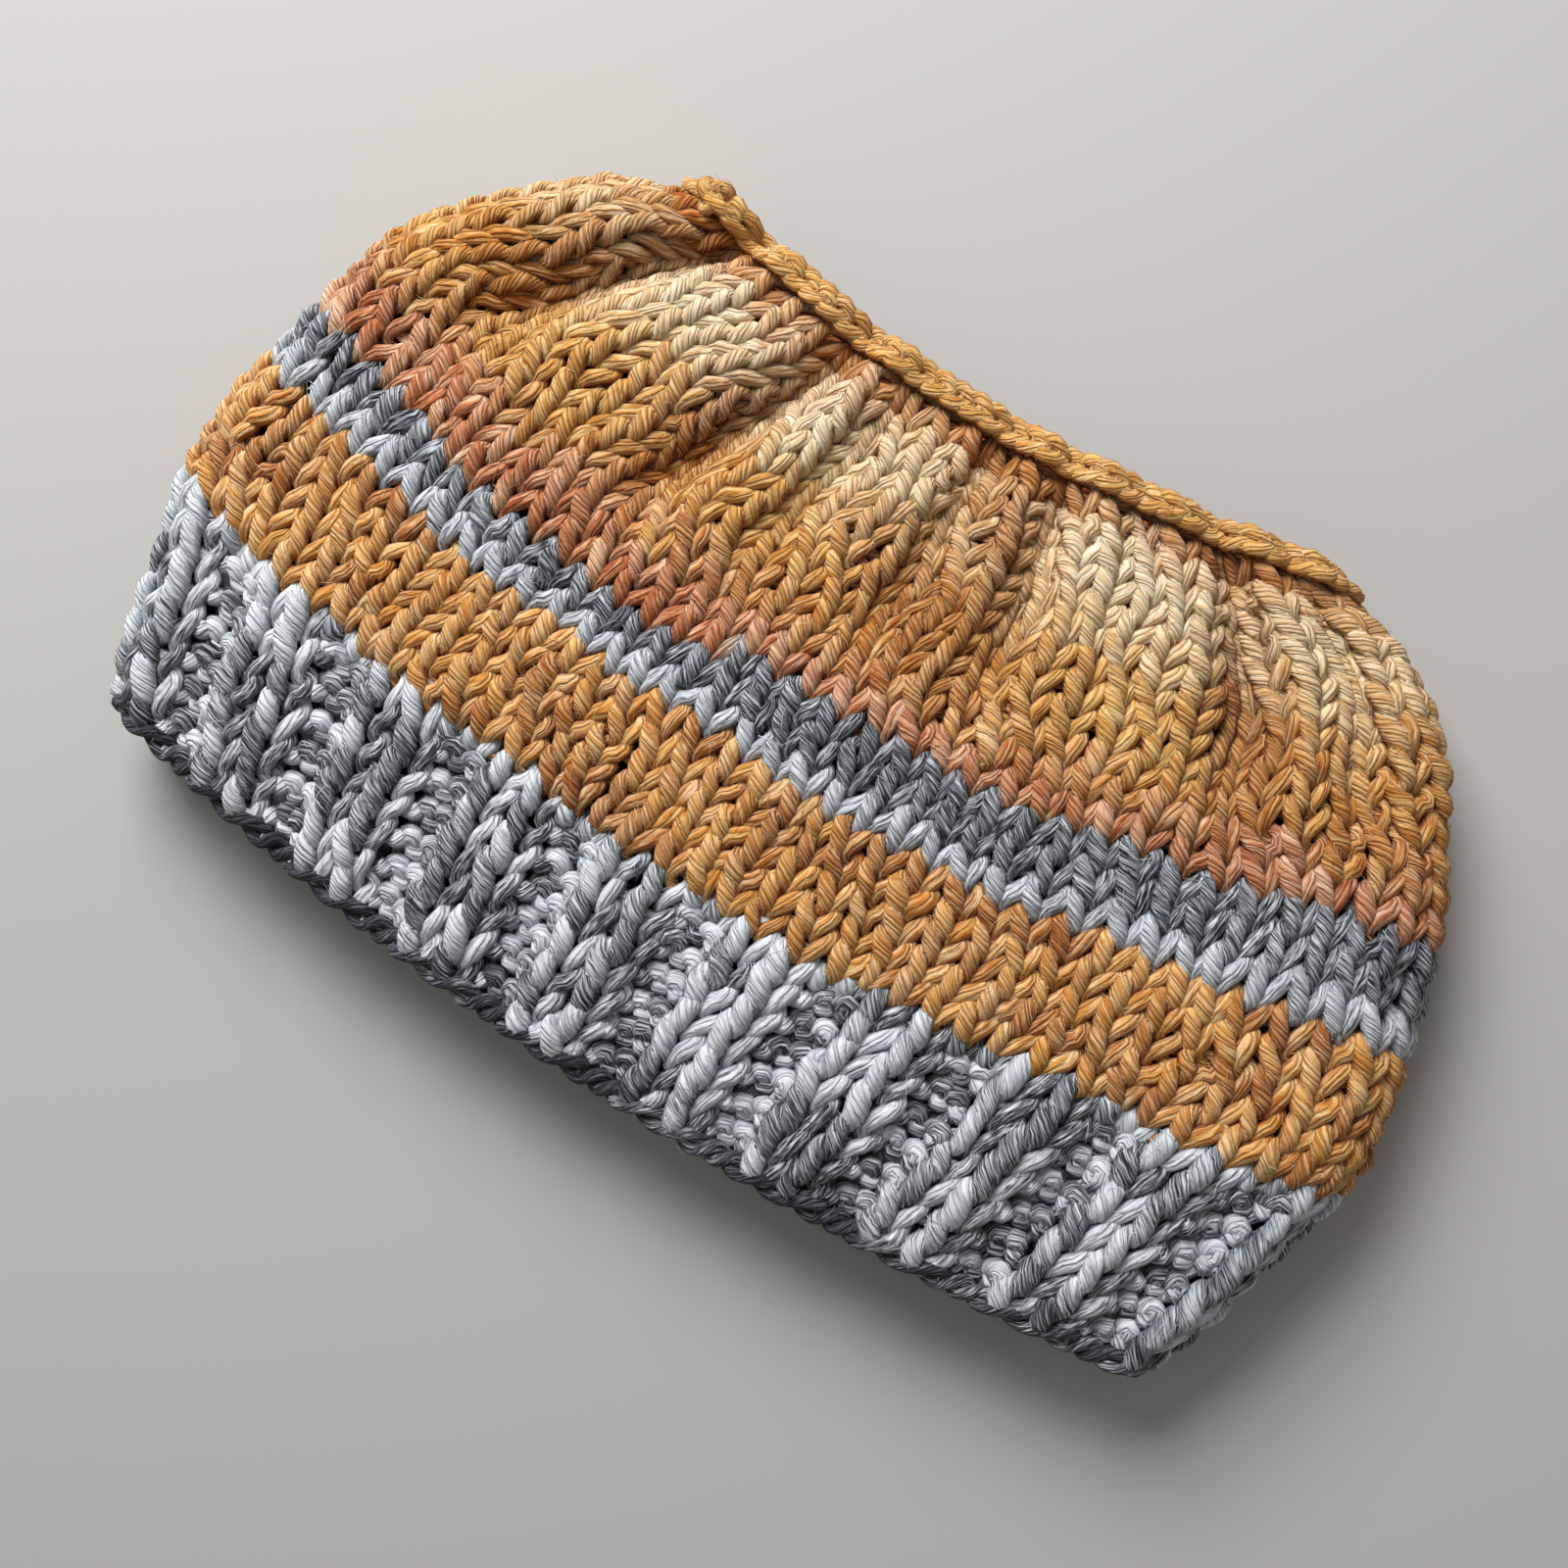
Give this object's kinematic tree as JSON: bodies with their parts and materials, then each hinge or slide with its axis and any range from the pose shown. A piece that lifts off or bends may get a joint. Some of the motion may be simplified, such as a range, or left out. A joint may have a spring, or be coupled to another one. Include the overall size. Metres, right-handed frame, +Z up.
{
  "type": "messy bun beanie",
  "caption": "Knitted beanie with a ribbed brim, striped body and a gathered crown left open for a hair bun, lying flat.",
  "frame": {"origin": "middle of the hat's length and width as it lies, on the surface it lies on", "axes": "+X along the brim to the right as seen with the brim nearest, +Y from the brim to the bun opening, +Z up"},
  "size_m": [0.2255, 0.1368, 0.0249],
  "materials": {
    "marled_wool": "matt, light grey and charcoal marled wool yarn, knit two purl two rib",
    "ochre_wool": "matt, mustard ochre wool yarn in plain knit",
    "grey_wool": "matt, light and dark grey heathered wool yarn in plain knit",
    "crown_wool": "matt, self-striping wool yarn from coral through gold to pale tan, in plain knit",
    "edging_wool": "matt, golden ochre wool yarn in a chain edging"
  },
  "bodies": {
    "root": {"ribbed_brim": "marled_wool", "ochre_band": "ochre_wool", "grey_stripe": "grey_wool", "crown": "crown_wool", "bun_edging": "edging_wool"}
  },
  "joints": []
}
